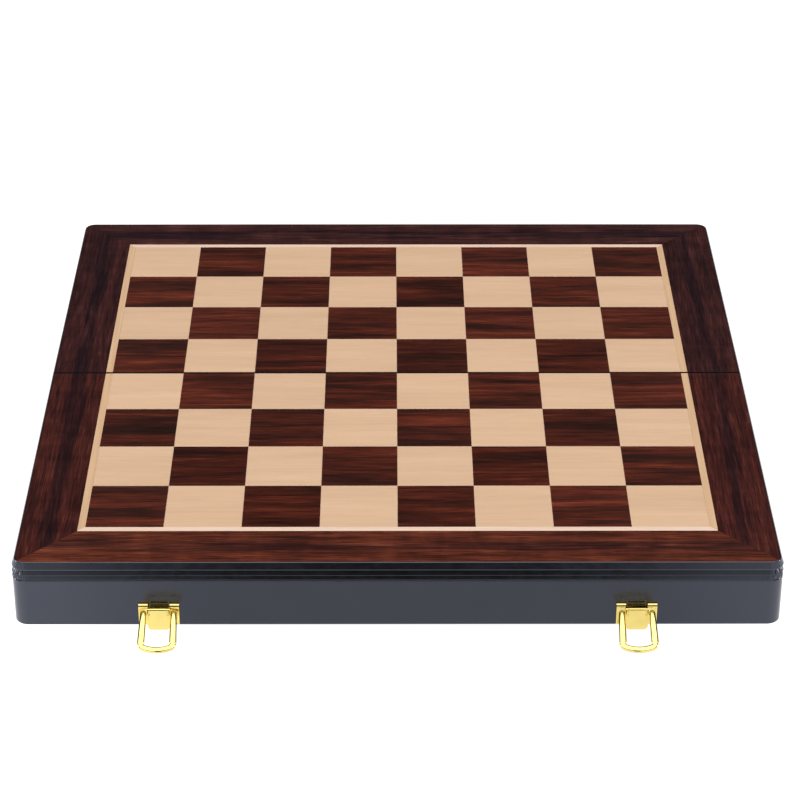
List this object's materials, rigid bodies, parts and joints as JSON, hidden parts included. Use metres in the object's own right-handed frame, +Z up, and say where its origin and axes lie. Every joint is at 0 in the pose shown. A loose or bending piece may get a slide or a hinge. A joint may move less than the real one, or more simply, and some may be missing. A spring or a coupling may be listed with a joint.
{
  "type": "folding chess box",
  "caption": "Folding chess box: hollow leather-covered halves hinged under the middle of a chequered veneer board, with flocked compartments inside and brass draw latches.",
  "frame": {"origin": "on the table, at the middle of the open box's footprint with its latch bails hanging forward", "axes": "+X to the player's right along the hinge, +Y from the latches to the far half, +Z up from the table"},
  "size_m": [0.448, 0.4842, 0.0443],
  "materials": {
    "frame_board": "fibreboard, stained black where it shows at the rim",
    "panel_board": "thin ply under the veneers",
    "leather": "smooth black grain with a soft sheen",
    "border_veneer": "dark straight-grained veneer, gloss lacquer",
    "pale_inlay_veneer": "pale maple, gloss lacquer",
    "dark_square_veneer": "dark streaked veneer, gloss lacquer",
    "light_square_veneer": "pale maple, gloss lacquer",
    "flock": "dark green flock",
    "divider_flock": "dark green flock over thin board",
    "pin_steel": "bright wire",
    "brass": "polished"
  },
  "bodies": {
    "base": {"base_dark_squares": "dark_square_veneer", "base_far_board": "frame_board", "base_far_border": "border_veneer", "base_flocked_tray": "flock", "base_hinge_screws": "brass", "base_leather_cover": "leather", "base_left_board": "frame_board", "base_left_border": "border_veneer", "base_left_hinge_leaf": "brass", "base_light_squares": "light_square_veneer", "base_long_divider": "divider_flock", "base_pale_inlay": "pale_inlay_veneer", "base_panel": "panel_board", "base_pawn_dividers": "divider_flock", "base_piece_dividers": "divider_flock", "base_right_board": "frame_board", "base_right_border": "border_veneer", "base_right_hinge_leaf": "brass", "base_seam_board": "frame_board", "base_seam_cover": "leather", "left_hinge_pin": "pin_steel", "left_latch_plate": "brass", "left_latch_screws": "brass", "left_lever_pin": "brass", "right_hinge_pin": "pin_steel", "right_latch_plate": "brass", "right_latch_screws": "brass", "right_lever_pin": "brass"},
    "lid": {"lid_dark_squares": "dark_square_veneer", "lid_far_board": "frame_board", "lid_far_border": "border_veneer", "lid_flocked_tray": "flock", "lid_hinge_screws": "brass", "lid_leather_cover": "leather", "lid_left_board": "frame_board", "lid_left_border": "border_veneer", "lid_left_hinge_leaf": "brass", "lid_light_squares": "light_square_veneer", "lid_long_divider": "divider_flock", "lid_pale_inlay": "pale_inlay_veneer", "lid_panel": "panel_board", "lid_pawn_dividers": "divider_flock", "lid_piece_dividers": "divider_flock", "lid_right_board": "frame_board", "lid_right_border": "border_veneer", "lid_right_hinge_leaf": "brass", "lid_seam_board": "frame_board", "lid_seam_cover": "leather", "left_catch": "brass", "left_catch_screws": "brass", "right_catch": "brass", "right_catch_screws": "brass"},
    "left_lever": {"left_lever": "brass"},
    "left_bail": {"left_bail": "brass"},
    "right_lever": {"right_lever": "brass"},
    "right_bail": {"right_bail": "brass"}
  },
  "joints": [
    {"name": "fold", "type": "hinge", "parent": "base", "child": "lid", "pos_m": [0, 0.01224, 0.0015], "axis": [1, 0, 0], "range_deg": [-179.2, 1.1]},
    {"name": "left_lever_pivot", "type": "hinge", "parent": "base", "child": "left_lever", "pos_m": [-0.139, -0.21548, 0.01317], "axis": [1, 0, 0], "range_deg": [-168, 0]},
    {"name": "left_bail_pivot", "type": "hinge", "parent": "left_lever", "child": "left_bail", "pos_m": [-0.139, -0.21623, 0.01098], "axis": [1, 0, 0], "range_deg": [0, 236.59]},
    {"name": "right_lever_pivot", "type": "hinge", "parent": "base", "child": "right_lever", "pos_m": [0.139, -0.21548, 0.01317], "axis": [1, 0, 0], "range_deg": [-168, 0]},
    {"name": "right_bail_pivot", "type": "hinge", "parent": "right_lever", "child": "right_bail", "pos_m": [0.139, -0.21623, 0.01098], "axis": [1, 0, 0], "range_deg": [0, 236.59]}
  ],
  "couplings": [
    {"joint": "left_bail_pivot", "follows": "left_lever_pivot", "ratio": -1.4077},
    {"joint": "right_bail_pivot", "follows": "right_lever_pivot", "ratio": -1.4077}
  ]
}
